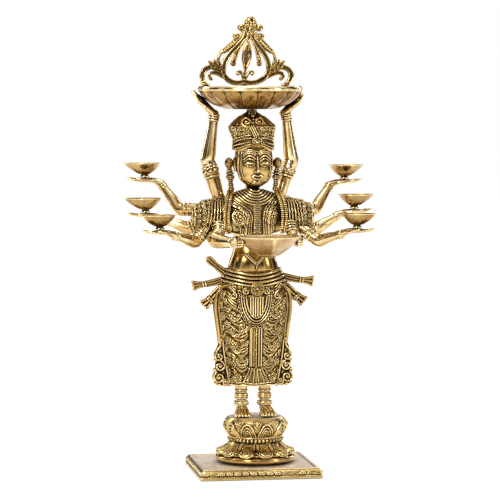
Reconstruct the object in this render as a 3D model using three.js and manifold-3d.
// A figural oil lamp in cast brass. A standing figure on a double lotus carries a wide lamp bowl with a
// pierced arch over its head, a pointed bowl in its two front hands, and six small pointed dishes on its
// side hands.
// Millimetres, +Z up, the figure faces -Y, and the origin is the centre of the base plate's underside.
// "Left" is the -X side, which is the left side for someone who faces the figure.
import * as THREE from "three";
import { mergeVertices } from "three/addons/utils/BufferGeometryUtils.js";
import Module from "manifold-3d";

const wasm = await Module();
wasm.setup();

// Driving dimensions of the fits
const FIT = 0.3; // gap between a piece and the piece it seats in or on
const SIDES = [-1, 1];
const SIDE_NAMES = { "-1": "left", 1: "right" };

// Base plate and its screws
const PLATE_WIDTH = 150;
const PLATE_DEPTH = 146;
const PLATE_HEIGHT = 13;
const PLATE_FOOT_HEIGHT = 4;
const PLATE_TOP_INSET = 4.5;
const PLATE_BORDER = 4;
const PLATE_RECESS = 0.9;
const BASE_SCREW_SPACING = 44;
const BASE_SCREW_RADIUS = 2.5;
const BASE_SCREW_HEAD_RADIUS = 5;
const BASE_SCREW_HEAD_HEIGHT = 3.2;
const BASE_SCREW_GRIP = 8; // length of shank inside the lotus

// Double lotus
const LOWER_LOTUS_HEIGHT = 26;
const LOWER_LOTUS_RADIUS = 49.5;
const LOTUS_NECK_RADIUS = 29.5;
const LOTUS_RING_HEIGHT = 5;
const LOTUS_RING_RADIUS = 34.5;
const UPPER_LOTUS_HEIGHT = 25;
const UPPER_LOTUS_RADIUS = 38.2;
const LOWER_PETALS = 12;
const UPPER_PETALS = 10;
const LOTUS_ASIDE = 3; // the lotus stands this far right of the plate's and the figure's middle

// Legs and skirt
const LEG_SPACING = 29;
const ANKLE_RADIUS = 7.4;
const LEG_HEIGHT = 38; // sole to skirt hem
const LEG_SOCKET = 12;
const FOOT_PEG_RADIUS = 3.6;
const FOOT_PEG_LENGTH = 8;
const FOOT_REACH = 27; // from the ankle's axis to the toes
const SKIRT_HEIGHT = 142;
const SKIRT_HIP_HALF_WIDTH = 42;
const SKIRT_HEM_HALF_WIDTH = 30.5;
const SKIRT_WAIST_HALF_WIDTH = 33;
const SKIRT_HALF_DEPTH = 27;
const GIRDLE_HEIGHT = 13;
const GIRDLE_THICKNESS = 3;
const CLASP_RADIUS = 7.5;
const PLEAT_THICKNESS = 3.4;
const PLEAT_WIDTH = 17;
const FALL_THICKNESS = 9;

// Torso, head and crown
const WAIST_SPIGOT = 9;
const WAIST_HALF_WIDTH = 22.5;
const TORSO_HEIGHT = 95; // waist to the top of the shoulders
const SHOULDER_HALF_WIDTH = 37;
const CHEST_HALF_DEPTH = 20;
const BODICE_THICKNESS = 2;
const NECK_RADIUS = 8.2;
const NECK_HEIGHT = 8;
const NECK_SPIGOT = 8;
const HEAD_HEIGHT = 55;
const HEAD_HALF_WIDTH = 20;
const HEAD_HALF_DEPTH = 21;
const CROWN_HEIGHT = 51;
const CROWN_OVERLAP = 13; // how far the crown comes down over the head
const CROWN_RADIUS = 28;
const CROWN_TOP_RADIUS = 8;
const BUN_RADIUS = 13;
const EARRING_DISC_RADIUS = 7.2;

// Shoulder sleeves and the bolt through them
const SLEEVE_REACH = 39; // from the torso's side to the sleeve's outer end
const SLEEVE_HALF_HEIGHT = 22;
const SLEEVE_HALF_DEPTH = 21;
const SLEEVE_DROP = 26; // sleeve centre below the shoulder top
const SHOULDER_BOLT_RADIUS = 2.5;
const SHOULDER_BOLT_GRIP = 14; // length of bolt inside each sleeve

// Hands, arms and the small dishes that they carry
const ARM_RADIUS = 6.6;
const WRIST_RADIUS = 4.8;
const BRACELET_RISE = 1.3;
const PALM_HALF_WIDTH = 5.6;
const PALM_THICKNESS = 4.6;
const FINGER_REACH = 24; // from the dish's axis to the fingertips
const WRIST_REACH = 20; // from the dish's axis back to the wrist
const DISH_BACK = 19.5;
const DISH_TIP = 27;
const DISH_HALF_WIDTH = 18;
const DISH_HEIGHT = 17;
const DISH_WALL = 1.7;
const DISH_FOOT_RADIUS = 6;
const DISH_FOOT_HEIGHT = 3.6;
const PALM_SCREW_RADIUS = 1.5;
const PALM_SCREW_HEAD_RADIUS = 2.9;
const PALM_SCREW_HEAD_HEIGHT = 1.5;
const PALM_SCREW_GRIP = 3; // length of shank inside the dish's foot

// Front bowl, top bowl and arch
const FRONT_BOWL_BACK = 33;
const FRONT_BOWL_TIP = 47;
const FRONT_BOWL_HALF_WIDTH = 39;
const FRONT_BOWL_HEIGHT = 25.5;
const FRONT_BOWL_WALL = 2.2;
const FRONT_BOWL_FOOT_RADIUS = 9;
const FRONT_BOWL_FOOT_HEIGHT = 1.5;
const FRONT_BOWL_AT = [8, -72]; // across, front to back
const FRONT_BOWL_RIM_DROP = 50; // rim below the shoulder top
const RIVET_RADIUS = 1.3;
const RIVET_HEAD_RADIUS = 2.6;
const RIVET_GRIP = 5; // length of rivet inside the hand
const TOP_BOWL_RADIUS = 63.5;
const TOP_BOWL_HEIGHT = 27.5;
const TOP_BOWL_WALL = 2.6;
const TOP_BOWL_RIM = 5.5;
const TOP_BOWL_FLAT_RADIUS = 33;
const TOP_BOWL_LOBES = 18;
const TOP_SCREW_RADIUS = 2.2;
const TOP_SCREW_HEAD_RADIUS = 6;
const TOP_SCREW_GRIP = 12; // length of shank inside the crown
const ARCH_HALF_WIDTH = 51;
const ARCH_HEIGHT = 86.5;
const ARCH_DEPTH = 37; // behind the bowl's centre
const ARCH_THICKNESS = 4;
const ARCH_RIB = 3.4;
const ARCH_PIN_RADIUS = 1.3;
const ARCH_PIN_LENGTH = 9;

// Heights that follow. The figure's own group starts at the soles.
const PEDESTAL_HEIGHT = LOWER_LOTUS_HEIGHT + LOTUS_RING_HEIGHT + UPPER_LOTUS_HEIGHT;
const SOLE_LEVEL = PLATE_HEIGHT - PLATE_RECESS + PEDESTAL_HEIGHT + 4 * FIT;
const WAIST_LEVEL = LEG_HEIGHT + SKIRT_HEIGHT;
const SHOULDER_LEVEL = WAIST_LEVEL + TORSO_HEIGHT;
const CHIN_LEVEL = SHOULDER_LEVEL + NECK_HEIGHT;
const HEAD_TOP_LEVEL = CHIN_LEVEL + HEAD_HEIGHT;
const CROWN_LEVEL = HEAD_TOP_LEVEL - CROWN_OVERLAP;
const CROWN_TOP_LEVEL = CROWN_LEVEL + CROWN_HEIGHT;
const TOP_BOWL_LEVEL = CROWN_TOP_LEVEL + FIT;
const FRONT_BOWL_LEVEL = SHOULDER_LEVEL - FRONT_BOWL_RIM_DROP - FRONT_BOWL_HEIGHT;
const SLEEVE_LEVEL = SHOULDER_LEVEL - SLEEVE_DROP;

// The six side hands. Each place is [across, behind, above], from the body's axis and the shoulder top. palm
// is the middle of the palm's top face, and heading is the hand's turn towards the front in degrees.
const sideArmAt = (name, side, heading, palm, elbow, root) => ({ name, side, heading, palm, elbow, root });
const SIDE_ARMS = [
  sideArmAt("left_upper", -1, -14, [127, 52, 17], [87, 26, -22], [57, 11, -22]),
  sideArmAt("left_middle", -1, -9, [130, 18, -25], [79, 7, -44], [57, 3, -34]),
  sideArmAt("left_lower", -1, 27, [122, -61, -41.5], [75, -23, -59], [57, -7, -43]),
  sideArmAt("right_upper", 1, -14, [124, 52, 13.5], [82, 26, -23], [57, 11, -22]),
  sideArmAt("right_middle", 1, -9, [130, 18, -22], [80, 7, -46], [57, 3, -34]),
  sideArmAt("right_lower", 1, 40, [118, -61, -41.5], [78, -23, -59], [57, -7, -43]),
];

// Materials
const brass = (name, color, roughness) =>
  new THREE.MeshStandardMaterial({ name, color, roughness, metalness: 1 });
const CAST_BRASS = brass("cast_brass", 0xb98a3a, 0.35);
const POLISHED_BRASS = brass("polished_brass", 0xd9b25f, 0.22);
const DISH_BRASS = brass("dish_brass", 0xc08a45, 0.3);
const SCREW_BRASS = brass("screw_brass", 0xa88a4c, 0.4);

const vec = (x, y, z) => new THREE.Vector3(x, y, z);
const radians = THREE.MathUtils.degToRad;

// Turns a closed BufferGeometry into a solid, with its faces pointing out.
function solidOf(geometry) {
  const bare = geometry.index ? geometry.toNonIndexed() : geometry.clone();
  const positions = new THREE.BufferGeometry().setAttribute("position", bare.getAttribute("position"));
  const merged = mergeVertices(positions, 1e-4);
  const vertProperties = merged.attributes.position.array;
  const triVerts = new Uint32Array(merged.index.array);
  const made = new wasm.Manifold(new wasm.Mesh({ numProp: 3, vertProperties, triVerts }));
  if (made.volume() > 0) return made;
  const turned = triVerts.map((_, i) => triVerts[i - (i % 3) + (2 - (i % 3))]);
  return new wasm.Manifold(new wasm.Mesh({ numProp: 3, vertProperties, triVerts: turned }));
}

// Turns a solid back into geometry for a mesh.
function geometryOf(solid) {
  const mesh = solid.getMesh();
  const geometry = new THREE.BufferGeometry();
  geometry.setAttribute("position", new THREE.BufferAttribute(new Float32Array(mesh.vertProperties), 3));
  geometry.setIndex(new THREE.BufferAttribute(new Uint32Array(mesh.triVerts), 1));
  geometry.computeVertexNormals();
  return geometry;
}

const fuse = (first, ...others) => others.reduce((made, other) => made.add(other), first);
const cut = (first, ...others) => others.reduce((made, other) => made.subtract(other), first);

// A closed solid through rings of points, all with the same count, whose ends are capped by fans.
function ringSolid(rings) {
  const count = rings[0].length;
  const points = rings.flat();
  const faces = [];
  for (let k = 0; k + 1 < rings.length; k++) {
    for (let i = 0; i < count; i++) {
      const a = k * count + i;
      const b = k * count + ((i + 1) % count);
      faces.push(a, b, b + count, a, b + count, a + count);
    }
  }
  const cap = (start, near) => {
    const middle = vec(0, 0, 0);
    for (let i = 0; i < count; i++) middle.addScaledVector(points[start + i], 1 / count);
    points.push(middle);
    for (let i = 0; i < count; i++) {
      const a = start + i;
      const b = start + ((i + 1) % count);
      faces.push(...(near ? [b, a, points.length - 1] : [a, b, points.length - 1]));
    }
  };
  cap(0, true);
  cap((rings.length - 1) * count, false);
  const geometry = new THREE.BufferGeometry().setFromPoints(points);
  geometry.setIndex(faces);
  return solidOf(geometry);
}

// Points of an ellipse round centre, along the unit vectors u and v.
function ellipse(centre, u, v, halfU, halfV, sides, phase = 0) {
  return Array.from({ length: sides }, (_, i) => {
    const angle = (2 * Math.PI * i) / sides + phase;
    return centre
      .clone()
      .addScaledVector(u, halfU * Math.cos(angle))
      .addScaledVector(v, halfV * Math.sin(angle));
  });
}

// Values between stations, as a smooth curve through them.
function smooth(stations, steps) {
  const last = stations.length - 1;
  const at = (i) => stations[Math.min(Math.max(i, 0), last)];
  const made = [];
  for (let i = 0; i < last; i++) {
    for (let s = 0; s < steps; s++) {
      const t = s / steps;
      made.push(
        at(i).map((value, k) => {
          const before = at(i - 1)[k];
          const next = at(i + 1)[k];
          const after = at(i + 2)[k];
          const bend = 2 * before - 5 * value + 4 * next - after;
          const twist = 3 * value - before - 3 * next + after;
          return 0.5 * (2 * value + (next - before) * t + bend * t * t + twist * t * t * t);
        }),
      );
    }
  }
  made.push(stations[last]);
  return made;
}

// A tapering limb through stations of [x, y, z, halfWidth, halfThickness]. The thickness lies nearest to
// the direction up. grow widens it all round and lengthens both ends, which makes the cutter for a socket.
function limb(stations, { sides = 8, up = vec(0, 0, 1), grow = 0, phase = 0 } = {}) {
  const centres = stations.map(([x, y, z]) => vec(x, y, z));
  const last = centres.length - 1;
  const rings = stations.map(([, , , halfWidth, halfThickness], i) => {
    const ahead = centres[Math.min(i + 1, last)].clone().sub(centres[Math.max(i - 1, 0)]).normalize();
    const across = up.clone().cross(ahead).normalize();
    const over = ahead.clone().cross(across);
    const end = i === 0 ? -grow : i === last ? grow : 0;
    const centre = centres[i].clone().addScaledVector(ahead, end);
    return ellipse(centre, across, over, halfWidth + grow, halfThickness + grow, sides, phase);
  });
  return ringSolid(rings);
}

// A body of level sections [z, halfWidth, halfDepth, middleY]. grow widens it and lengthens both ends.
function bodyLoft(sections, { sides = 16, grow = 0 } = {}) {
  const last = sections.length - 1;
  return ringSolid(
    sections.map(([z, halfWidth, halfDepth, middleY = 0], i) => {
      const level = z + (i === 0 ? -grow : i === last ? grow : 0);
      const centre = vec(0, middleY, level);
      return ellipse(centre, vec(1, 0, 0), vec(0, 1, 0), halfWidth + grow, halfDepth + grow, sides);
    }),
  );
}

// An upright solid of revolution from [radius, z] pairs that start and end on the axis.
function turned(profile, sides) {
  const points = profile.map(([r, z]) => new THREE.Vector2(r, z));
  return solidOf(new THREE.LatheGeometry(points, sides).rotateX(Math.PI / 2));
}

// A round bar between two heights.
const bar = (radius, low, high, sides = 12) =>
  turned([[0, low], [radius, low], [radius, high], [0, high]], sides);

// A ball squeezed to three half sizes.
function ball(centre, halves, sides = 8, rings = 5) {
  const geometry = new THREE.SphereGeometry(1, sides, rings).rotateX(Math.PI / 2);
  return solidOf(geometry.scale(...halves).translate(...centre));
}

// An outline of [x, z] pairs, as thick as the distance from front to back.
function slab(outline, front, back) {
  const shape = new THREE.Shape(outline.map(([x, z]) => new THREE.Vector2(x, z)));
  const geometry = new THREE.ExtrudeGeometry(shape, { depth: back - front, bevelEnabled: false, steps: 1 });
  return solidOf(geometry.rotateX(Math.PI / 2).translate(0, back, 0));
}

const mirrorX = (points, side) => points.map(([x, ...rest]) => [side * x, ...rest]);

function meshOf(name, solid, material) {
  const mesh = new THREE.Mesh(geometryOf(solid), material);
  mesh.name = name;
  return mesh;
}

// Base plate: a square slab whose rolled edge steps in to a raised border round a recessed field.
function makeBasePlate() {
  const half = PLATE_WIDTH / 2;
  const top = half - PLATE_TOP_INSET;
  const field = top - PLATE_BORDER;
  const squareRadius = (halfWidth) => halfWidth * Math.SQRT2;
  const profile = [
    [0, 0],
    [half, 0],
    [half, PLATE_FOOT_HEIGHT],
    [half - PLATE_TOP_INSET * 0.45, PLATE_FOOT_HEIGHT + 1],
    [top, PLATE_HEIGHT - 1],
    [top - 1, PLATE_HEIGHT],
    [field, PLATE_HEIGHT],
    [field - PLATE_RECESS, PLATE_HEIGHT - PLATE_RECESS],
    [0, PLATE_HEIGHT - PLATE_RECESS],
  ].map(([r, z]) => [squareRadius(r), z]);
  const square = new THREE.LatheGeometry(profile.map(([r, z]) => new THREE.Vector2(r, z)), 4);
  square.rotateX(Math.PI / 2).rotateZ(Math.PI / 4).scale(1, PLATE_DEPTH / PLATE_WIDTH, 1);
  const holes = SIDES.map((side) =>
    fuse(
      bar(BASE_SCREW_RADIUS + FIT, -1, PLATE_HEIGHT + 1),
      bar(BASE_SCREW_HEAD_RADIUS + FIT, -1, BASE_SCREW_HEAD_HEIGHT + 2 * FIT),
    ).translate([LOTUS_ASIDE + (side * BASE_SCREW_SPACING) / 2, 0, 0]),
  );
  return cut(solidOf(square), ...holes);
}

// The screws that hold the lotus from under the plate. Each starts at its head's lower face.
function makeBaseScrew() {
  const shankTop = PLATE_HEIGHT - PLATE_RECESS + BASE_SCREW_GRIP;
  const slot = solidOf(new THREE.BoxGeometry(BASE_SCREW_HEAD_RADIUS * 3, 1.2, 2));
  return cut(
    fuse(
      bar(BASE_SCREW_RADIUS, FIT, shankTop),
      bar(BASE_SCREW_HEAD_RADIUS, FIT, BASE_SCREW_HEAD_HEIGHT + FIT),
    ),
    slot,
  );
}

// A tier of lotus petals: rings of [radius, z, rise]. rise is how far the petals stand out of that ring.
function petalTier(profile, petals) {
  const stepsPerPetal = 4;
  const rings = profile.map(([radius, z, rise]) =>
    Array.from({ length: petals * stepsPerPetal }, (_, i) => {
      const angle = (2 * Math.PI * i) / (petals * stepsPerPetal);
      const out = radius + rise * (Math.abs(Math.cos((petals * angle) / 2)) - 1);
      return vec(out * Math.cos(angle), out * Math.sin(angle), z);
    }),
  );
  return ringSolid(rings);
}

function makeLowerLotus() {
  const outer = LOWER_LOTUS_RADIUS;
  const neck = LOTUS_NECK_RADIUS;
  const tier = petalTier(
    [
      [outer * 0.87, 0, 0],
      [outer * 0.99, LOWER_LOTUS_HEIGHT * 0.17, 0],
      [outer * 0.99, LOWER_LOTUS_HEIGHT * 0.34, 0],
      [outer * 0.96, LOWER_LOTUS_HEIGHT * 0.42, 3.4],
      [outer * 0.8, LOWER_LOTUS_HEIGHT * 0.6, 2.6],
      [neck + 2, LOWER_LOTUS_HEIGHT * 0.9, 1],
      [neck, LOWER_LOTUS_HEIGHT, 0],
    ],
    LOWER_PETALS,
  );
  const holes = SIDES.map((side) => {
    const hole = bar(BASE_SCREW_RADIUS + FIT, -1, BASE_SCREW_GRIP + FIT);
    return hole.translate([(side * BASE_SCREW_SPACING) / 2, 0, 0]);
  });
  return cut(tier, ...holes);
}

// The collar between the two tiers.
const makeLotusRing = () =>
  turned(
    [
      [0, 0],
      [LOTUS_NECK_RADIUS, 0],
      [LOTUS_NECK_RADIUS, LOTUS_RING_HEIGHT * 0.2],
      [LOTUS_RING_RADIUS, LOTUS_RING_HEIGHT * 0.4],
      [LOTUS_RING_RADIUS, LOTUS_RING_HEIGHT * 0.8],
      [LOTUS_RING_RADIUS - 2, LOTUS_RING_HEIGHT],
      [0, LOTUS_RING_HEIGHT],
    ],
    28,
  );

function makeUpperLotus() {
  const outer = UPPER_LOTUS_RADIUS;
  const tier = petalTier(
    [
      [outer * 0.83, 0, 0],
      [outer * 0.88, UPPER_LOTUS_HEIGHT * 0.16, 2],
      [outer, UPPER_LOTUS_HEIGHT * 0.46, 3],
      [outer * 0.99, UPPER_LOTUS_HEIGHT * 0.66, 2.6],
      [outer * 0.93, UPPER_LOTUS_HEIGHT * 0.88, 1.4],
      [outer * 0.9, UPPER_LOTUS_HEIGHT, 0],
    ],
    UPPER_PETALS,
  );
  const floor = UPPER_LOTUS_HEIGHT - FOOT_PEG_LENGTH - FIT;
  const sockets = SIDES.map((side) => {
    const socket = bar(FOOT_PEG_RADIUS + FIT, floor, UPPER_LOTUS_HEIGHT + 1);
    return socket.translate([(side * LEG_SPACING) / 2 - LOTUS_ASIDE, 0, 0]);
  });
  return cut(tier, ...sockets);
}

// A leg from its peg in the lotus to its top inside the skirt, with its anklets.
function legStations(side) {
  const x = (side * LEG_SPACING) / 2;
  const ring = ANKLE_RADIUS + 1.6;
  return [
    [x, 0, 3, ANKLE_RADIUS * 0.9, ANKLE_RADIUS * 0.9],
    [x, 0, 11, ANKLE_RADIUS, ANKLE_RADIUS],
    [x, 0, 14, ring, ring],
    [x, 0, 19, ring, ring],
    [x, 0, 21, ANKLE_RADIUS, ANKLE_RADIUS],
    [x, 0, LEG_HEIGHT, ANKLE_RADIUS + 0.8, ANKLE_RADIUS + 0.8],
    [x, 0, LEG_HEIGHT + LEG_SOCKET, ANKLE_RADIUS + 0.8, ANKLE_RADIUS + 0.8],
  ];
}

const legShape = (side, grow = 0) => limb(legStations(side), { sides: 12, up: vec(0, 1, 0), grow });

function makeLeg(side) {
  const x = (side * LEG_SPACING) / 2;
  const foot = limb(
    [
      [x, 10, 5, 4.5, 5],
      [x, 5, 6.5, 7, 7.4],
      [x, -6, 6.5, 8, 7],
      [x + side * 1.5, -FOOT_REACH * 0.62, 4, 10, 4.6],
      [x + side * 2, -FOOT_REACH * 0.92, 2.8, 10.4, 3.4],
      [x + side * 2, -FOOT_REACH, 2.2, 9, 2],
    ],
    { sides: 10 },
  );
  const ground = solidOf(new THREE.BoxGeometry(100, 100, 20).translate(0, 0, -10));
  const peg = bar(FOOT_PEG_RADIUS, -FOOT_PEG_LENGTH, 5).translate([x, 0, 0]);
  return fuse(cut(fuse(legShape(side), foot), ground), peg);
}

// The skirt's level sections from hem to waist.
const skirtSections = () => {
  const at = (share) => LEG_HEIGHT + SKIRT_HEIGHT * share;
  return [
    [at(0), SKIRT_HEM_HALF_WIDTH, SKIRT_HALF_DEPTH * 0.8],
    [at(0.1), SKIRT_HEM_HALF_WIDTH + 0.5, SKIRT_HALF_DEPTH * 0.8],
    [at(0.25), SKIRT_HEM_HALF_WIDTH * 0.6 + SKIRT_HIP_HALF_WIDTH * 0.36, SKIRT_HALF_DEPTH * 0.82],
    [at(0.42), SKIRT_HEM_HALF_WIDTH * 0.25 + SKIRT_HIP_HALF_WIDTH * 0.7, SKIRT_HALF_DEPTH * 0.88],
    [at(0.6), SKIRT_HIP_HALF_WIDTH * 0.98, SKIRT_HALF_DEPTH * 0.97],
    [at(0.76), SKIRT_HIP_HALF_WIDTH, SKIRT_HALF_DEPTH],
    [at(0.88), SKIRT_HIP_HALF_WIDTH * 0.95, SKIRT_HALF_DEPTH * 0.95],
    [at(1), SKIRT_WAIST_HALF_WIDTH, SKIRT_HALF_DEPTH * 0.78],
  ];
};

const skirtShape = (grow = 0) => bodyLoft(skirtSections(), { grow });

// The torso's level sections from the spigot in the skirt to the neck's root.
const torsoSections = () => {
  const at = (share) => WAIST_LEVEL + TORSO_HEIGHT * share;
  return [
    [WAIST_LEVEL - WAIST_SPIGOT, WAIST_HALF_WIDTH + 2, 15],
    [at(0.05), WAIST_HALF_WIDTH + 6, 19.5, -1],
    [at(0.2), WAIST_HALF_WIDTH + 3, 18.5, -1],
    [at(0.36), WAIST_HALF_WIDTH, 16.5],
    [at(0.52), WAIST_HALF_WIDTH + 4, CHEST_HALF_DEPTH * 0.9],
    [at(0.7), SHOULDER_HALF_WIDTH * 0.92, CHEST_HALF_DEPTH],
    [at(0.86), SHOULDER_HALF_WIDTH, CHEST_HALF_DEPTH * 0.92],
    [at(0.95), SHOULDER_HALF_WIDTH * 0.94, CHEST_HALF_DEPTH * 0.76],
    [at(1), SHOULDER_HALF_WIDTH * 0.62, CHEST_HALF_DEPTH * 0.6],
    [at(1.04), NECK_RADIUS + 3, NECK_RADIUS + 2],
  ];
};

const BUST_CENTRE = [17, -13, SHOULDER_LEVEL - 30];
const BUST_RADIUS = 12.5;

const torsoShape = (grow = 0) =>
  fuse(
    bodyLoft(torsoSections(), { grow }),
    ...SIDES.map((side) => {
      const [x, y, z] = BUST_CENTRE;
      const r = BUST_RADIUS + grow;
      return ball([side * x, y, z], [r, r, r], 10, 6);
    }),
  );

// The head with its neck's spigot.
const headSections = () => {
  const at = (share) => CHIN_LEVEL + HEAD_HEIGHT * share;
  const wide = HEAD_HALF_WIDTH;
  const deep = HEAD_HALF_DEPTH;
  return [
    [SHOULDER_LEVEL - NECK_SPIGOT, NECK_RADIUS, NECK_RADIUS, 2],
    [CHIN_LEVEL - 1, NECK_RADIUS, NECK_RADIUS, 2],
    [at(0), wide * 0.48, deep * 0.6, -3],
    [at(0.08), wide * 0.7, deep * 0.78, -3],
    [at(0.22), wide * 0.9, deep * 0.92, -2],
    [at(0.42), wide, deep, -1],
    [at(0.62), wide, deep],
    [at(0.8), wide * 0.92, deep * 0.92],
    [at(0.94), wide * 0.66, deep * 0.68],
    [at(1), wide * 0.25, deep * 0.25],
  ];
};

const headShape = (grow = 0) => bodyLoft(headSections(), { grow });

// The sleeve's puffed body, from the torso's side outwards.
function sleeveShape(side) {
  const x = (share) => side * (SHOULDER_HALF_WIDTH + FIT + SLEEVE_REACH * share);
  const deep = SLEEVE_HALF_DEPTH;
  const high = SLEEVE_HALF_HEIGHT;
  return limb(
    [
      [x(-0.08), 1, SLEEVE_LEVEL + 3, deep * 0.8, high * 0.76],
      [x(0.18), 1, SLEEVE_LEVEL + 1, deep, high],
      [x(0.48), 1, SLEEVE_LEVEL, deep, high * 0.97],
      [x(0.76), 2, SLEEVE_LEVEL - 1, deep * 0.84, high * 0.82],
      [x(0.94), 3, SLEEVE_LEVEL - 2, deep * 0.5, high * 0.52],
      [x(1), 3, SLEEVE_LEVEL - 2, deep * 0.2, high * 0.2],
    ],
    { sides: 12 },
  );
}

// Places a point given as [across, behind, above the shoulder top] on one side.
const onSide = (side, [across, behind, above]) => [side * across, behind, SHOULDER_LEVEL + above];

// A side arm from its root in the sleeve to its wrist.
function sideArmStations(arm) {
  const heading = radians(arm.heading);
  const out = [arm.side * Math.cos(heading), -Math.sin(heading)];
  const [px, py, pz] = onSide(arm.side, arm.palm);
  const wrist = [px - out[0] * WRIST_REACH, py - out[1] * WRIST_REACH, pz - 8];
  const elbow = onSide(arm.side, arm.elbow);
  const root = onSide(arm.side, arm.root);
  const between = (a, b, t) => a.map((value, k) => value + (b[k] - value) * t);
  const round = (point, radius) => [...point, radius, radius];
  return {
    out,
    palm: [px, py, pz],
    stations: [
      round(root, ARM_RADIUS + 0.6),
      round(between(root, elbow, 0.7), ARM_RADIUS + 0.4),
      round(elbow, ARM_RADIUS),
      round(between(elbow, wrist, 0.35), ARM_RADIUS),
      round(between(elbow, wrist, 0.8), WRIST_RADIUS),
      round(between(elbow, wrist, 0.84), WRIST_RADIUS + BRACELET_RISE),
      round(between(elbow, wrist, 0.98), WRIST_RADIUS + BRACELET_RISE),
      round(wrist, WRIST_RADIUS),
    ],
  };
}

function sideArmShape(arm, grow = 0) {
  return limb(sideArmStations(arm).stations, { grow });
}

// An open hand that lies level under a dish, from the wrist to the fingertips, its thumb towards the front.
function levelHand(arm) {
  const { out, palm, stations } = sideArmStations(arm);
  const [px, py, pz] = palm;
  const wrist = stations[stations.length - 1];
  const middle = pz - PALM_THICKNESS / 2;
  const along = (distance, drop, halfWidth, halfThickness) => [
    px + out[0] * distance,
    py + out[1] * distance,
    middle - drop,
    halfWidth,
    halfThickness,
  ];
  const half = PALM_THICKNESS / 2;
  const hand = limb(
    [
      [wrist[0] - out[0] * 2, wrist[1] - out[1] * 2, wrist[2] - 1, WRIST_RADIUS, WRIST_RADIUS * 0.9],
      along(-WRIST_REACH * 0.55, 1.5, PALM_HALF_WIDTH * 0.95, half * 1.25),
      along(-WRIST_REACH * 0.2, 0, PALM_HALF_WIDTH, half),
      along(FINGER_REACH * 0.3, 0, PALM_HALF_WIDTH, half),
      along(FINGER_REACH * 0.7, 0.6, PALM_HALF_WIDTH * 0.88, half * 0.7),
      along(FINGER_REACH, 0, PALM_HALF_WIDTH * 0.5, half * 0.45),
    ],
    { phase: Math.PI / 8 },
  );
  const frontward = [arm.side * out[1], -arm.side * out[0]];
  const thumbAt = (distance, aside, drop, radius) => [
    px + out[0] * distance + frontward[0] * aside,
    py + out[1] * distance + frontward[1] * aside,
    middle - drop,
    radius,
    radius * 0.9,
  ];
  const thumb = limb(
    [
      thumbAt(-WRIST_REACH * 0.4, PALM_HALF_WIDTH * 0.6, 0.6, 2.2),
      thumbAt(0, PALM_HALF_WIDTH * 1.25, 0.2, 1.8),
      thumbAt(FINGER_REACH * 0.38, PALM_HALF_WIDTH * 1.4, 0, 1.1),
    ],
    { sides: 6 },
  );
  return fuse(hand, thumb);
}

function makeSideArm(arm) {
  const palm = onSide(arm.side, arm.palm);
  const seatWidth = DISH_FOOT_RADIUS * 3;
  const seat = solidOf(new THREE.BoxGeometry(seatWidth, seatWidth, 6).translate(0, 0, 3));
  const hole = bar(PALM_SCREW_RADIUS + FIT, -20, 1, 8);
  const spotFace = bar(PALM_SCREW_HEAD_RADIUS + FIT, -20, 0.4 - PALM_THICKNESS, 8);
  const cutters = [seat, hole, spotFace].map((cutter) => cutter.translate(palm));
  return cut(fuse(sideArmShape(arm), levelHand(arm)), ...cutters);
}

// How a pointed bowl's wall opens from its foot to its rim, as [share of the reach, share of the height].
const BOWL_WALL = [
  [0.08, 0],
  [0.46, 0.3],
  [0.76, 0.62],
  [1, 1],
];

// A pointed bowl on a small foot. Its lip points along +X, and z starts at the foot's lower face.
function pointedBowl({ back, tip, halfWidth, height, wall, footRadius, footHeight, sides = 14 }) {
  const outline = (share, z, inset) =>
    Array.from({ length: sides }, (_, i) => {
      const angle = (2 * Math.PI * i) / sides;
      const ahead = Math.max(0, Math.cos(angle));
      const reach = Math.cos(angle) > 0 ? tip : back;
      const narrow = 1 - 0.42 * ahead ** 2;
      const sharp = share ** 1.5; // the point grows towards the rim
      const x = Math.cos(angle) * (footRadius + (reach - footRadius) * share - inset);
      const wide = footRadius + (halfWidth - footRadius) * share - inset;
      return vec(x, Math.sin(angle) * wide * (1 - sharp * (1 - narrow)), z);
    });
  const depth = height - footHeight;
  const outer = (share, rise) => outline(share, footHeight + depth * rise, 0);
  const inner = (share, rise) => outline(share, Math.min(height, footHeight + depth * rise + wall), wall);
  return ringSolid([
    outline(0, 0, 0),
    outline(0, footHeight * 0.8, footRadius * 0.35),
    ...BOWL_WALL.map(([share, rise]) => outer(share, rise)),
    inner(1, 1),
    inner(0.75, 0.6),
    inner(0.44, 0.26),
    inner(0.16, 0.06),
  ]);
}

const dishShape = () =>
  pointedBowl({
    back: DISH_BACK,
    tip: DISH_TIP,
    halfWidth: DISH_HALF_WIDTH,
    height: DISH_HEIGHT,
    wall: DISH_WALL,
    footRadius: DISH_FOOT_RADIUS,
    footHeight: DISH_FOOT_HEIGHT,
  });

const makeDish = () => cut(dishShape(), bar(PALM_SCREW_RADIUS + FIT, -1, PALM_SCREW_GRIP + FIT, 8));

// The screw from under the palm into the dish's foot. z starts at the palm's top face.
function makePalmScrew() {
  const seat = -PALM_THICKNESS + 0.4 - FIT;
  return fuse(
    bar(PALM_SCREW_RADIUS, seat - 0.5, PALM_SCREW_GRIP, 8),
    bar(PALM_SCREW_HEAD_RADIUS, seat - PALM_SCREW_HEAD_HEIGHT, seat, 8),
  );
}

// Front bowl, or with grow a larger one that cuts the hands that hold it.
function frontBowl(grow = 0) {
  return pointedBowl({
    back: FRONT_BOWL_BACK + grow,
    tip: FRONT_BOWL_TIP + grow,
    halfWidth: FRONT_BOWL_HALF_WIDTH + grow,
    height: FRONT_BOWL_HEIGHT,
    wall: FRONT_BOWL_WALL,
    footRadius: FRONT_BOWL_FOOT_RADIUS,
    footHeight: FRONT_BOWL_FOOT_HEIGHT,
    sides: 22,
  });
}

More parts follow.
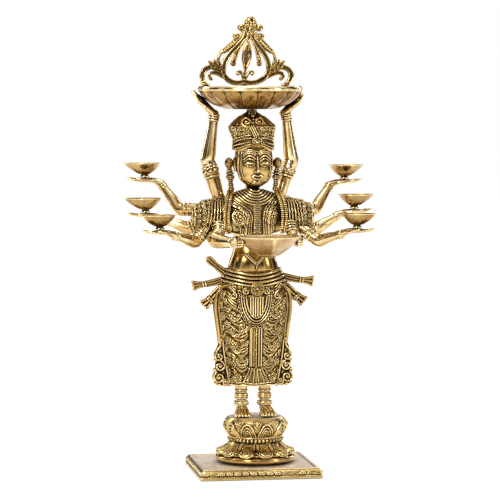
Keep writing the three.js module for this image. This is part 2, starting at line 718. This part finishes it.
const placedFrontBowl = (solid) =>
  solid.rotate([0, 0, -90]).translate([...FRONT_BOWL_AT, FRONT_BOWL_LEVEL]);

// Where a hand holds the bowl: a point on the wall's outside in the bowl's own frame, and the wall's slope.
function holdOnWall() {
  const reach = FRONT_BOWL_HALF_WIDTH - FRONT_BOWL_FOOT_RADIUS;
  const depth = FRONT_BOWL_HEIGHT - FRONT_BOWL_FOOT_HEIGHT;
  const [low, high] = BOWL_WALL.slice(-2).map(([share, rise]) => [
    FRONT_BOWL_FOOT_RADIUS + reach * share,
    FRONT_BOWL_FOOT_HEIGHT + depth * rise,
  ]);
  return {
    out: (low[0] + high[0]) / 2,
    up: (low[1] + high[1]) / 2,
    slope: Math.atan2(high[1] - low[1], high[0] - low[0]),
  };
}

// A rivet through the bowl's wall into a hand, in the assembly's frame. grow makes the hole for it.
function frontRivet(side, grow = 0, head = true) {
  const { out, up, slope } = holdOnWall();
  const seat = -FRONT_BOWL_WALL - 4 * FIT;
  const shank = bar(RIVET_RADIUS + grow, seat - 1, RIVET_GRIP + grow, 8);
  const whole = head ? fuse(shank, bar(RIVET_HEAD_RADIUS, seat - 1.2, seat, 10)) : shank;
  const turn = -side * (90 + THREE.MathUtils.radToDeg(Math.PI / 2 - slope));
  return placedFrontBowl(whole.rotate([turn, 0, 0]).translate([0, side * out, up]));
}

// A front arm from its root in the sleeve, round the elbow, to the hand on the bowl's side.
function frontArmStations(side) {
  const [bowlX, bowlY] = FRONT_BOWL_AT;
  const { out, up, slope } = holdOnWall();
  const aside = vec(side, 0, 0);
  const ahead = vec(0, -1, 0);
  const outward = aside.clone().multiplyScalar(Math.sin(slope)).add(vec(0, 0, -Math.cos(slope)));
  const hold = vec(bowlX, bowlY, FRONT_BOWL_LEVEL + up).addScaledVector(aside, out);
  const from = (forward, off, inward = 0) => {
    const point = hold.clone().addScaledVector(ahead, forward).addScaledVector(outward, off);
    return point.addScaledVector(aside, -inward).toArray();
  };
  return {
    outward,
    arm: [
      [side * 43, -12, SHOULDER_LEVEL - 36, ARM_RADIUS + 0.8, ARM_RADIUS + 0.8],
      [side * 45, -20, SHOULDER_LEVEL - 48, ARM_RADIUS + 0.6, ARM_RADIUS + 0.6],
      [side * 45.5, -28, SHOULDER_LEVEL - 57, ARM_RADIUS, ARM_RADIUS],
      [...from(-26, 7), ARM_RADIUS * 0.84, ARM_RADIUS * 0.84],
      [...from(-17, 6), WRIST_RADIUS, WRIST_RADIUS],
      [...from(-12, 5.5), WRIST_RADIUS, WRIST_RADIUS],
    ],
    hand: [
      [...from(-15, 5.5), WRIST_RADIUS, 4.4],
      [...from(-6, 5), 7.5, 4.8],
      [...from(3, 4.4), 7.5, 4.2],
      [...from(10, 4, 2), 6, 3],
      [...from(15, 4, 4.5), 3.4, 1.8],
    ],
    thumb: [
      [...from(-7, 5, -1), 2.8, 2.8],
      [hold.x + side * 6, hold.y, FRONT_BOWL_LEVEL + FRONT_BOWL_HEIGHT - 1, 2.6, 2.6],
      [hold.x + side * 6, hold.y - 8, FRONT_BOWL_LEVEL + FRONT_BOWL_HEIGHT + 2.4, 1.7, 1.7],
    ],
  };
}

const frontArmShape = (side, grow = 0) => limb(frontArmStations(side).arm, { grow });

function makeFrontArm(side) {
  const { outward, hand, thumb } = frontArmStations(side);
  const whole = fuse(frontArmShape(side), limb(hand, { up: outward }), limb(thumb, { sides: 6 }));
  return cut(whole, placedFrontBowl(frontBowl(FIT * 2)), frontRivet(side, FIT, false));
}

const makeFrontBowl = () =>
  cut(placedFrontBowl(frontBowl()), frontRivet(-1, FIT, false), frontRivet(1, FIT, false));

// Wall of the top bowl, from the floor's edge to the rim, as [radius, height] pairs.
function topBowlWall(inset) {
  const flat = TOP_BOWL_FLAT_RADIUS;
  const radius = TOP_BOWL_RADIUS;
  const rim = TOP_BOWL_HEIGHT - TOP_BOWL_RIM;
  const at = (share) => flat + (radius - flat) * share - inset;
  return [
    [at(0), rim * 0.04 + inset * 0.9],
    [at(0.48), rim * 0.3 + inset * 0.7],
    [at(0.82), rim * 0.66 + inset * 0.4],
    [at(1), rim],
  ];
}

function topBowlRing(radius, z, lobe) {
  const steps = TOP_BOWL_LOBES * 2;
  return Array.from({ length: steps }, (_, i) => {
    const angle = (2 * Math.PI * i) / steps;
    const out = radius - (i % 2 ? lobe : 0);
    return vec(out * Math.cos(angle), out * Math.sin(angle), z);
  });
}

function makeTopBowl() {
  const lobes = [0.6, 1.6, 1.2, 0];
  const outer = topBowlWall(0).map(([r, z], i) => topBowlRing(r, z, lobes[i]));
  const inner = topBowlWall(TOP_BOWL_WALL).map(([r, z], i) => topBowlRing(r, z, lobes[i])).reverse();
  const whole = ringSolid([
    topBowlRing(TOP_BOWL_FLAT_RADIUS * 0.5, 0, 0),
    ...outer,
    topBowlRing(TOP_BOWL_RADIUS, TOP_BOWL_HEIGHT, 0),
    topBowlRing(TOP_BOWL_RADIUS - TOP_BOWL_WALL, TOP_BOWL_HEIGHT, 0),
    ...inner,
    topBowlRing(TOP_BOWL_FLAT_RADIUS * 0.5, TOP_BOWL_WALL, 0),
  ]);
  const pinHoles = SIDES.map((side) =>
    bar(ARCH_PIN_RADIUS + FIT, TOP_BOWL_HEIGHT - ARCH_PIN_LENGTH, TOP_BOWL_HEIGHT + 1, 8).translate([
      side * archFootAcross(),
      ARCH_DEPTH,
      0,
    ]),
  );
  return cut(whole, bar(TOP_SCREW_RADIUS + FIT, -1, TOP_BOWL_WALL + 1), ...pinHoles);
}

// How far from the middle the arch's feet stand, where the rim crosses the arch's plane.
const archFootAcross = () => Math.sqrt((TOP_BOWL_RADIUS - TOP_BOWL_WALL / 2) ** 2 - ARCH_DEPTH ** 2);

// The top bowl's outer form, filled in, as the cutter for the hands that hold it.
function topBowlCutter() {
  const wall = topBowlWall(-2 * FIT);
  return turned(
    [
      [0, -FIT],
      [TOP_BOWL_FLAT_RADIUS, -FIT],
      ...wall,
      [TOP_BOWL_RADIUS + 2 * FIT, TOP_BOWL_HEIGHT + 1],
      [0, TOP_BOWL_HEIGHT + 1],
    ],
    TOP_BOWL_LOBES * 2,
  ).translate([0, 0, TOP_BOWL_LEVEL]);
}

function makeTopScrew() {
  return fuse(
    bar(TOP_SCREW_RADIUS, -TOP_SCREW_GRIP, TOP_BOWL_WALL + 1),
    ball([0, 0, TOP_BOWL_WALL + FIT + 2], [TOP_SCREW_HEAD_RADIUS, TOP_SCREW_HEAD_RADIUS, 2], 12, 6),
  );
}

// A raised arm from its root in the shoulder to its fingertips at the top bowl's rim.
function raisedArmStations(side) {
  const plan = radians(15); // how far behind the side the hand holds the bowl
  const bowl = (radius, height) => [
    side * radius * Math.cos(plan),
    radius * Math.sin(plan),
    TOP_BOWL_LEVEL + height,
  ];
  const flat = TOP_BOWL_FLAT_RADIUS;
  const radius = TOP_BOWL_RADIUS;
  const wrist = bowl(flat + (radius - flat) * 0.42, -6);
  const shoulder = [side * 38, 16, SHOULDER_LEVEL - 15];
  const elbow = [side * 52.5, 18, (shoulder[2] + wrist[2]) / 2 - 2];
  const mix = (a, b, t) => a.map((value, k) => value + (b[k] - value) * t);
  return {
    arm: [
      [...shoulder, 8.6, 8.6],
      [...mix(shoulder, elbow, 0.5), 9, 9],
      [...mix(shoulder, elbow, 0.53), 10.8, 10.8],
      [...mix(shoulder, elbow, 0.62), 10.8, 10.8],
      [...mix(shoulder, elbow, 0.66), 9.6, 9.6],
      [...elbow, 9, 9],
      [...mix(elbow, wrist, 0.45), 7.6, 7.6],
      [...mix(elbow, wrist, 0.86), 5.8, 5.8],
      [...mix(elbow, wrist, 0.89), 7.4, 7.4],
      [...mix(elbow, wrist, 0.97), 7.4, 7.4],
      [...wrist, 5.4, 5.4],
    ],
    hand: [
      [...bowl(flat + (radius - flat) * 0.4, -5), 5, 4.6],
      [...bowl(flat + (radius - flat) * 0.62, 1), 8, 4.6],
      [...bowl(radius * 0.97, TOP_BOWL_HEIGHT * 0.4), 7.6, 4],
      [...bowl(radius + 5, TOP_BOWL_HEIGHT * 0.8), 6, 2.6],
      [...bowl(radius + 8.5, TOP_BOWL_HEIGHT + 1), 3, 1.6],
    ],
  };
}

const raisedArmShape = (side, grow = 0) =>
  limb(raisedArmStations(side).arm, { sides: 9, up: vec(0, 1, 0), grow });

function makeRaisedArm(side) {
  const hand = limb(raisedArmStations(side).hand, { sides: 8 });
  return cut(fuse(raisedArmShape(side), hand), topBowlCutter());
}

// Crown: a band over the brow, a wide body and a stepped cone up to the bowl.
function makeCrown() {
  const at = (share) => CROWN_LEVEL + CROWN_HEIGHT * share;
  const crown = bodyLoft(
    [
      [at(0), HEAD_HALF_WIDTH + 3, HEAD_HALF_DEPTH + 2.5],
      [at(0.04), HEAD_HALF_WIDTH + 4.6, HEAD_HALF_DEPTH + 4],
      [at(0.16), HEAD_HALF_WIDTH + 4.6, HEAD_HALF_DEPTH + 4],
      [at(0.2), HEAD_HALF_WIDTH + 2.6, HEAD_HALF_DEPTH + 2],
      [at(0.48), CROWN_RADIUS * 0.96, CROWN_RADIUS * 0.92],
      [at(0.6), CROWN_RADIUS, CROWN_RADIUS * 0.96],
      [at(0.68), CROWN_RADIUS * 0.9, CROWN_RADIUS * 0.86],
      [at(0.9), CROWN_TOP_RADIUS + 3, CROWN_TOP_RADIUS + 3],
      [at(0.95), CROWN_TOP_RADIUS, CROWN_TOP_RADIUS],
      [at(1), CROWN_TOP_RADIUS, CROWN_TOP_RADIUS],
    ],
    { sides: 18 },
  );
  const socket = bar(TOP_SCREW_RADIUS + FIT, CROWN_TOP_LEVEL - TOP_SCREW_GRIP - FIT, CROWN_TOP_LEVEL + 1);
  return cut(crown, headShape(FIT), socket);
}

// Hair bun at the nape with the plait's first length down the back.
function makeHairBun() {
  const bun = ball(
    [0, HEAD_HALF_DEPTH + BUN_RADIUS * 0.35, CHIN_LEVEL + BUN_RADIUS * 1.35],
    [BUN_RADIUS * 1.15, BUN_RADIUS * 0.8, BUN_RADIUS],
    12,
    8,
  );
  const plait = limb(
    [
      [0, HEAD_HALF_DEPTH + 3, CHIN_LEVEL + 8, 7, 5],
      [0, CHEST_HALF_DEPTH + 4, SHOULDER_LEVEL - 12, 7, 4.5],
      [0, CHEST_HALF_DEPTH + 4, SHOULDER_LEVEL - 42, 6, 4],
      [0, CHEST_HALF_DEPTH + 1.5, WAIST_LEVEL + 20, 4, 3.4],
    ],
    { up: vec(0, 1, 0) },
  );
  return cut(fuse(bun, plait), headShape(FIT), torsoShape(FIT), makeCrownEnvelope());
}

// The crown's lower edge as a plain cutter for the hair below it.
const makeCrownEnvelope = () =>
  bodyLoft([
    [CROWN_LEVEL - FIT, HEAD_HALF_WIDTH + 5.2, HEAD_HALF_DEPTH + 4.8],
    [CROWN_TOP_LEVEL, HEAD_HALF_WIDTH + 8, HEAD_HALF_DEPTH + 8],
  ]);

// An earring: a disc over the ear, then a bell and a tassel down to the shoulder.
function makeEarring(side) {
  const x = side * (HEAD_HALF_WIDTH + EARRING_DISC_RADIUS * 0.82);
  const disc = CHIN_LEVEL + HEAD_HEIGHT * 0.5;
  const drop = disc - (SHOULDER_LEVEL + 2);
  const at = (share) => SHOULDER_LEVEL + 2 + drop * share;
  const bead = (share, radius) => [x, 1, at(share), radius, radius];
  const string = limb(
    [
      bead(0, 3.4),
      bead(0.12, 2.6),
      bead(0.18, 1.8),
      bead(0.26, 2.9),
      bead(0.34, 1.8),
      bead(0.38, 5),
      bead(0.5, 4.6),
      bead(0.6, 2.2),
      bead(0.9, 2.4),
    ],
    { sides: 8, up: vec(0, 1, 0) },
  );
  const r = EARRING_DISC_RADIUS;
  const plate = ball([x, 1, disc], [r * 0.8, r, r], 10, 6);
  const arms = raisedArmShape(side, FIT);
  return cut(fuse(string, plate), headShape(FIT), torsoShape(FIT), makeCrownEnvelope(), arms);
}

// The girdle: a rounded belt round the skirt's top, with room for the clasp at the front.
const girdleTop = () => WAIST_LEVEL - 1;

function makeGirdle() {
  const low = girdleTop() - GIRDLE_HEIGHT;
  const sections = skirtSections();
  const [, hipX, hipY] = sections[6];
  const [, waistX, waistY] = sections[7];
  const out = GIRDLE_THICKNESS;
  const hip = sections[6][0];
  const across = (z) => hipX + ((waistX - hipX) * (z - hip)) / (WAIST_LEVEL - hip);
  const through = (z) => hipY + ((waistY - hipY) * (z - hip)) / (WAIST_LEVEL - hip);
  const ring = (z, grow) => [z, across(z) + grow, through(z) + grow];
  const middle = (low + girdleTop()) / 2;
  const belt = bodyLoft([ring(low, 1), ring(low + 2, out), ring(middle, out), ring(girdleTop(), 1.4)]);
  return cut(belt, skirtShape(FIT), claspShape(FIT));
}

const CLASP_LEVEL = WAIST_LEVEL - 22;

function claspShape(grow = 0) {
  const front = -(SKIRT_HALF_DEPTH + GIRDLE_THICKNESS + 1.5);
  const disc = bar(CLASP_RADIUS + grow, 0, GIRDLE_THICKNESS * 2.6 + grow, 14).rotate([90, 0, 0]);
  return disc.translate([0, front + GIRDLE_THICKNESS * 2.6, CLASP_LEVEL]);
}

const makeClasp = () => cut(claspShape(), skirtShape(FIT));

// The pleated panel down the front, which opens in a fan at the hem.
function pleatOutline() {
  const half = PLEAT_WIDTH / 2;
  const top = CLASP_LEVEL - CLASP_RADIUS - FIT * 2;
  const at = (share) => LEG_HEIGHT + (top - LEG_HEIGHT) * share;
  const right = [
    [half * 1.55, at(0)],
    [half * 1.5, at(0.06)],
    [half * 0.86, at(0.17)],
    [half * 0.86, at(0.5)],
    [half * 1.7, at(0.6)],
    [half * 1.9, at(0.76)],
    [half * 1.5, at(0.94)],
    [half * 0.9, at(1)],
  ];
  return [...right, ...right.map(([x, z]) => [-x, z]).reverse()];
}

function makePleat() {
  const column = slab(pleatOutline(), -2 * SKIRT_HALF_DEPTH, -SKIRT_HALF_DEPTH * 0.3);
  const shell = skirtShape(PLEAT_THICKNESS);
  return cut(shell.intersect(column), skirtShape(FIT), claspShape(FIT * 2), makeGirdleCutter());
}

// The girdle's outer form as a cutter, so that what hangs below it keeps clear.
const makeGirdleCutter = () => {
  const low = girdleTop() - GIRDLE_HEIGHT - FIT;
  return bodyLoft([
    [low, SKIRT_HIP_HALF_WIDTH + 8, SKIRT_HALF_DEPTH + 8],
    [WAIST_LEVEL + 4, SKIRT_HIP_HALF_WIDTH + 8, SKIRT_HALF_DEPTH + 8],
  ]);
};

// The sash fall at one side: a strip from the hip that opens in a scrolled panel at the hem.
function makeFall(side) {
  const hem = LEG_HEIGHT - 3;
  const at = (share) => hem + (girdleTop() - GIRDLE_HEIGHT - 1 - hem) * share;
  const edge = SKIRT_HEM_HALF_WIDTH;
  const hip = SKIRT_HIP_HALF_WIDTH;
  const outline = mirrorX(
    [
      [edge - 4, at(0.02)],
      [edge + 2, at(0)],
      [edge + 13, at(0.05)],
      [edge + 19, at(0.13)],
      [edge + 17, at(0.22)],
      [edge + 14.5, at(0.34)],
      [edge + 12.5, at(0.4)],
      [hip + 2.5, at(0.55)],
      [hip + 4.5, at(0.74)],
      [hip + 4, at(0.9)],
      [hip - 4, at(0.98)],
      [hip - 12, at(0.9)],
      [edge - 4, at(0.3)],
    ],
    side,
  );
  const ends = SASH_ENDS.filter((end) => end.side === side).map((end) => sashRibbon(end, FIT));
  return cut(slab(outline, -FALL_THICKNESS / 2, FALL_THICKNESS / 2), skirtShape(FIT), ...ends);
}

// The five sash ends that fly out at the hips. Each is a flat ribbon that widens at its tip.
const SASH_ENDS = [
  { name: "sash_loop_left", side: -1, level: -6, root: 30, tip: [55, 19], width: 4.8, flare: 0.9 },
  { name: "sash_end_left_upper", side: -1, level: -12, root: 38, tip: [74, -7], width: 4.6, flare: 1.45 },
  { name: "sash_end_right_upper", side: 1, level: -8, root: 36, tip: [74, -7], width: 4.8, flare: 1.5 },
  { name: "sash_end_left_lower", side: -1, level: -23, root: 40, tip: [61, -20], width: 6, flare: 1.25 },
  { name: "sash_end_right_lower", side: 1, level: -20, root: 40, tip: [63, -20], width: 6, flare: 1.25 },
];

function sashRibbon(end, grow = 0) {
  const [tipAcross, tipLevel] = end.tip;
  const start = vec(end.root, 2, WAIST_LEVEL + end.level);
  const tip = vec(tipAcross, 0, WAIST_LEVEL + end.level + tipLevel);
  const at = (t, sag, width) => [
    end.side * (start.x + (tip.x - start.x) * t),
    -2,
    start.z + (tip.z - start.z) * t - sag,
    width,
    2.2,
  ];
  return limb(
    [
      at(0, 0, end.width * 0.9),
      at(0.35, 1.5, end.width * 0.9),
      at(0.62, 1.6, end.width * 0.72),
      at(0.84, 0.6, end.width),
      at(1, 0, end.width * end.flare),
    ],
    { sides: 8, up: vec(0, 1, 0), phase: Math.PI / 8, grow },
  );
}

const makeSashEnd = (end) => cut(sashRibbon(end), skirtShape(FIT), makeGirdleSolid(FIT), torsoShape(FIT));

// The girdle's own outline, a little larger, for the sash ends that start at it.
function makeGirdleSolid(grow) {
  const low = girdleTop() - GIRDLE_HEIGHT - grow;
  const [hip, hipX, hipY] = skirtSections()[6];
  const [, waistX, waistY] = skirtSections()[7];
  const share = (z) => (z - hip) / (WAIST_LEVEL - hip);
  const out = GIRDLE_THICKNESS + grow;
  const ring = (z) => [z, hipX + (waistX - hipX) * share(z) + out, hipY + (waistY - hipY) * share(z) + out];
  return bodyLoft([ring(low), ring(girdleTop() + grow)]);
}

// The bodice and necklaces: one plate over the chest, cut to an outline.
function makeBodice() {
  const top = SHOULDER_LEVEL + 2;
  const outline = [
    [9, top - 5],
    [24, top - 1],
    [31, top - 12],
    [32, SHOULDER_LEVEL - 40],
    [20, SHOULDER_LEVEL - 46],
    [4, SHOULDER_LEVEL - 50],
  ];
  const both = [...outline, ...outline.map(([x, z]) => [-x, z]).reverse()];
  const column = slab(both, -2 * CHEST_HALF_DEPTH, -2);
  const arms = SIDES.map((side) => raisedArmShape(side, FIT));
  const fronts = SIDES.map((side) => frontArmShape(side, FIT));
  const flanks = SIDES.map((side) => flank(side, 0));
  const shell = torsoShape(BODICE_THICKNESS).intersect(column);
  return cut(shell, torsoShape(FIT), ...arms, ...fronts, ...flanks);
}

// Everything beyond a torso's side face, which is flat so that the sleeve can bolt to it.
function flank(side, gap) {
  const width = 60;
  const box = new THREE.BoxGeometry(width, 120, 200);
  const x = side * (SHOULDER_HALF_WIDTH - 3 + gap + width / 2);
  return solidOf(box.translate(x, 0, SHOULDER_LEVEL - 40));
}

const shoulderBoltCut = (radius, reach) =>
  bar(radius, -reach, reach, 10)
    .rotate([0, 90, 0])
    .translate([0, -2, SLEEVE_LEVEL + 2]);

const boltReach = () => SHOULDER_HALF_WIDTH - 3 + SHOULDER_BOLT_GRIP;

const makeShoulderBolt = () => shoulderBoltCut(SHOULDER_BOLT_RADIUS, boltReach());

function makeTorso() {
  const arms = SIDES.flatMap((side) => [raisedArmShape(side, FIT), frontArmShape(side, FIT)]);
  const flanks = SIDES.map((side) => flank(side, 0));
  const bolt = shoulderBoltCut(SHOULDER_BOLT_RADIUS + FIT, boltReach() + 20);
  return cut(torsoShape(), ...arms, ...flanks, bolt, headShape(FIT));
}

function makeSleeve(side) {
  const sideArms = SIDE_ARMS.filter((arm) => arm.side === side).map((arm) => sideArmShape(arm, FIT));
  const face = side * (SHOULDER_HALF_WIDTH - 3 + FIT - 60);
  const inner = solidOf(new THREE.BoxGeometry(120, 120, 200).translate(face, 0, SLEEVE_LEVEL));
  return cut(
    sleeveShape(side),
    inner,
    raisedArmShape(side, FIT),
    frontArmShape(side, FIT),
    shoulderBoltCut(SHOULDER_BOLT_RADIUS + FIT, boltReach() + FIT),
    ...sideArms,
  );
}

// The pierced arch, drawn for its right half from [x, z] points and mirrored. Its feet stand on the rim.
function archRib(points, halfWidth = ARCH_RIB / 2, steps = 1) {
  const scaleX = ARCH_HALF_WIDTH / 51;
  const scaleZ = ARCH_HEIGHT / 86;
  const stations = points.map(([x, z]) => [
    x * scaleX,
    0,
    z * scaleZ,
    halfWidth * Math.SQRT2,
    (ARCH_THICKNESS / 2) * Math.SQRT2,
  ]);
  return limb(smooth(stations, steps), { sides: 4, up: vec(0, 1, 0), phase: Math.PI / 4 });
}

function archBlob([x, z], halfX, halfZ, thickness = ARCH_THICKNESS) {
  const scaleX = ARCH_HALF_WIDTH / 51;
  const scaleZ = ARCH_HEIGHT / 86;
  return ball([x * scaleX, 0, z * scaleZ], [halfX, thickness * 0.6, halfZ], 6, 3);
}

const ARCH_HEART = [
  [2.2, 68],
  [5.5, 60],
  [13, 50],
  [21, 42],
  [27, 32],
  [28.5, 22],
  [26, 12],
  [18, 5],
  [8, 2.2],
  [0, 3.5],
];
const ARCH_FOOT = [
  [27, 15],
  [36, 20.5],
  [45, 22],
  [53, 18.5],
  [55, 11],
];

function makeArch() {
  const footAcross = archFootAcross() / (ARCH_HALF_WIDTH / 51);
  const half = (side) => {
    const both = (points) => mirrorX(points, side);
    return [
      // the heart: from the stem, out and round, and up the middle
      archRib(both(ARCH_HEART)),
      // the beaded strip outside the heart
      archRib(both([[4.5, 66], [10, 57], [19, 49.5], [28, 42], [32, 38]]), 2.2),
      // the link from the strip to the leaf
      archRib(both([[31, 39], [34, 30], [33, 22], [28, 16]]), 1.3),
      // the foot's outer and inner scrolls
      archRib(both([...ARCH_FOOT, [footAcross + 2, 4], [footAcross, 0.6]]), 2),
      archRib(both([[27, 11], [36, 15.5], [43, 15.5], [46, 11.5], [43, 8.5]]), 1.4),
      archBlob([side * footAcross, 2], 5.5, 1.8),
      // the leaf tuft
      archRib(both([[30, 16], [37, 24], [41, 32]]), 3),
      archRib(both([[33, 18], [43, 24], [48, 29]]), 2.2),
      // the hanging drop inside the heart
      archRib(both([[3, 58], [8, 48], [13, 36], [16.5, 27]]), 1.8),
      archBlob([side * 16, 25.5], 3.4, 3.8),
      // the pointed oval in the middle, and the curl below it
      archRib(both([[0, 52], [4.2, 42], [4.6, 30], [0, 17]]), 1.2),
      archRib(both([[0, 4], [2, 10], [6, 14.5], [9, 14], [8.5, 11]]), 1.3),
      // the leaves at the top
      archRib(both([[3, 66], [8, 68], [12, 72]]), 3.6),
      archRib(both([[5, 62], [11, 62.5], [15.5, 61.5]]), 3),
    ];
  };
  const stem = archRib([[0, 54], [0, 62], [0, 76]], 3.4, 1);
  const middle = archRib([[0, 18], [0, 3]], 1.8);
  const seed = archRib([[0, 49], [0, 36], [0, 20]], 1.2);
  const finial = ball([0, 0, ARCH_HEIGHT - 7], [6.4, 4, 7], 8, 5);
  const ground = solidOf(new THREE.BoxGeometry(300, 100, 40).translate(0, 0, -20));
  const pinHoles = SIDES.map((side) =>
    bar(ARCH_PIN_RADIUS + FIT, -1, 3, 8).translate([side * archFootAcross(), 0, 0]),
  );
  return cut(fuse(stem, middle, seed, finial, ...half(-1), ...half(1)), ground, ...pinHoles);
}

// The pin through one foot of the arch into the rim.
const makeArchPin = () => bar(ARCH_PIN_RADIUS, -ARCH_PIN_LENGTH + 2, 2, 8);

// Assembly
const lamp = new THREE.Group();

const base = new THREE.Group();
base.add(meshOf("base_plate", makeBasePlate(), POLISHED_BRASS));
SIDES.forEach((side) => {
  const screw = meshOf(`base_screw_${SIDE_NAMES[side]}`, makeBaseScrew(), SCREW_BRASS);
  screw.position.x = LOTUS_ASIDE + (side * BASE_SCREW_SPACING) / 2;
  base.add(screw);
});

const pedestal = new THREE.Group();
pedestal.position.set(LOTUS_ASIDE, 0, PLATE_HEIGHT - PLATE_RECESS + FIT);
const lowerLotus = meshOf("lotus_lower", makeLowerLotus(), POLISHED_BRASS);
const lotusRing = meshOf("lotus_ring", makeLotusRing(), CAST_BRASS);
lotusRing.position.z = LOWER_LOTUS_HEIGHT + FIT;
const upperLotus = meshOf("lotus_upper", makeUpperLotus(), POLISHED_BRASS);
upperLotus.position.z = LOWER_LOTUS_HEIGHT + LOTUS_RING_HEIGHT + 2 * FIT;
pedestal.add(lowerLotus, lotusRing, upperLotus);

const figure = new THREE.Group();
figure.position.z = SOLE_LEVEL;
SIDES.forEach((side) => figure.add(meshOf(`leg_${SIDE_NAMES[side]}`, makeLeg(side), POLISHED_BRASS)));
figure.add(
  meshOf(
    "skirt",
    cut(skirtShape(), legShape(-1, FIT), legShape(1, FIT), torsoShape(FIT)),
    CAST_BRASS,
  ),
);
figure.add(meshOf("front_pleat", makePleat(), CAST_BRASS));
figure.add(meshOf("girdle", makeGirdle(), CAST_BRASS));
figure.add(meshOf("girdle_clasp", makeClasp(), CAST_BRASS));
SIDES.forEach((side) => figure.add(meshOf(`sash_fall_${SIDE_NAMES[side]}`, makeFall(side), CAST_BRASS)));
SASH_ENDS.forEach((end) => figure.add(meshOf(end.name, makeSashEnd(end), CAST_BRASS)));
figure.add(meshOf("torso", makeTorso(), POLISHED_BRASS));
figure.add(meshOf("bodice", makeBodice(), CAST_BRASS));
figure.add(meshOf("head", headShape(), POLISHED_BRASS));
figure.add(meshOf("crown", makeCrown(), CAST_BRASS));
figure.add(meshOf("hair_bun", makeHairBun(), CAST_BRASS));
SIDES.forEach((side) => {
  const name = SIDE_NAMES[side];
  figure.add(meshOf(`earring_${name}`, makeEarring(side), CAST_BRASS));
  figure.add(meshOf(`sleeve_${name}`, makeSleeve(side), CAST_BRASS));
  figure.add(meshOf(`raised_arm_${name}`, makeRaisedArm(side), POLISHED_BRASS));
  figure.add(meshOf(`front_arm_${name}`, makeFrontArm(side), POLISHED_BRASS));
  figure.add(meshOf(`front_bowl_rivet_${name}`, frontRivet(side), SCREW_BRASS));
});
figure.add(meshOf("shoulder_bolt", makeShoulderBolt(), SCREW_BRASS));
figure.add(meshOf("front_bowl", makeFrontBowl(), DISH_BRASS));

SIDE_ARMS.forEach((arm) => {
  figure.add(meshOf(`side_arm_${arm.name}`, makeSideArm(arm), POLISHED_BRASS));
  const place = new THREE.Group();
  place.position.set(...onSide(arm.side, arm.palm));
  place.rotation.z = arm.side > 0 ? -radians(arm.heading) : Math.PI + radians(arm.heading);
  const dish = meshOf(`dish_${arm.name}`, makeDish(), DISH_BRASS);
  dish.position.z = FIT;
  place.add(dish, meshOf(`palm_screw_${arm.name}`, makePalmScrew(), SCREW_BRASS));
  figure.add(place);
});

const topBowl = new THREE.Group();
topBowl.position.z = TOP_BOWL_LEVEL;
topBowl.add(meshOf("top_bowl", makeTopBowl(), DISH_BRASS));
topBowl.add(meshOf("top_bowl_screw", makeTopScrew(), SCREW_BRASS));
const arch = new THREE.Group();
arch.position.set(0, ARCH_DEPTH, TOP_BOWL_HEIGHT + FIT);
arch.add(meshOf("arch", makeArch(), POLISHED_BRASS));
SIDES.forEach((side) => {
  const pin = meshOf(`arch_pin_${SIDE_NAMES[side]}`, makeArchPin(), SCREW_BRASS);
  pin.position.x = side * archFootAcross();
  arch.add(pin);
});
topBowl.add(arch);
figure.add(topBowl);

lamp.add(base, pedestal, figure);
export default lamp;
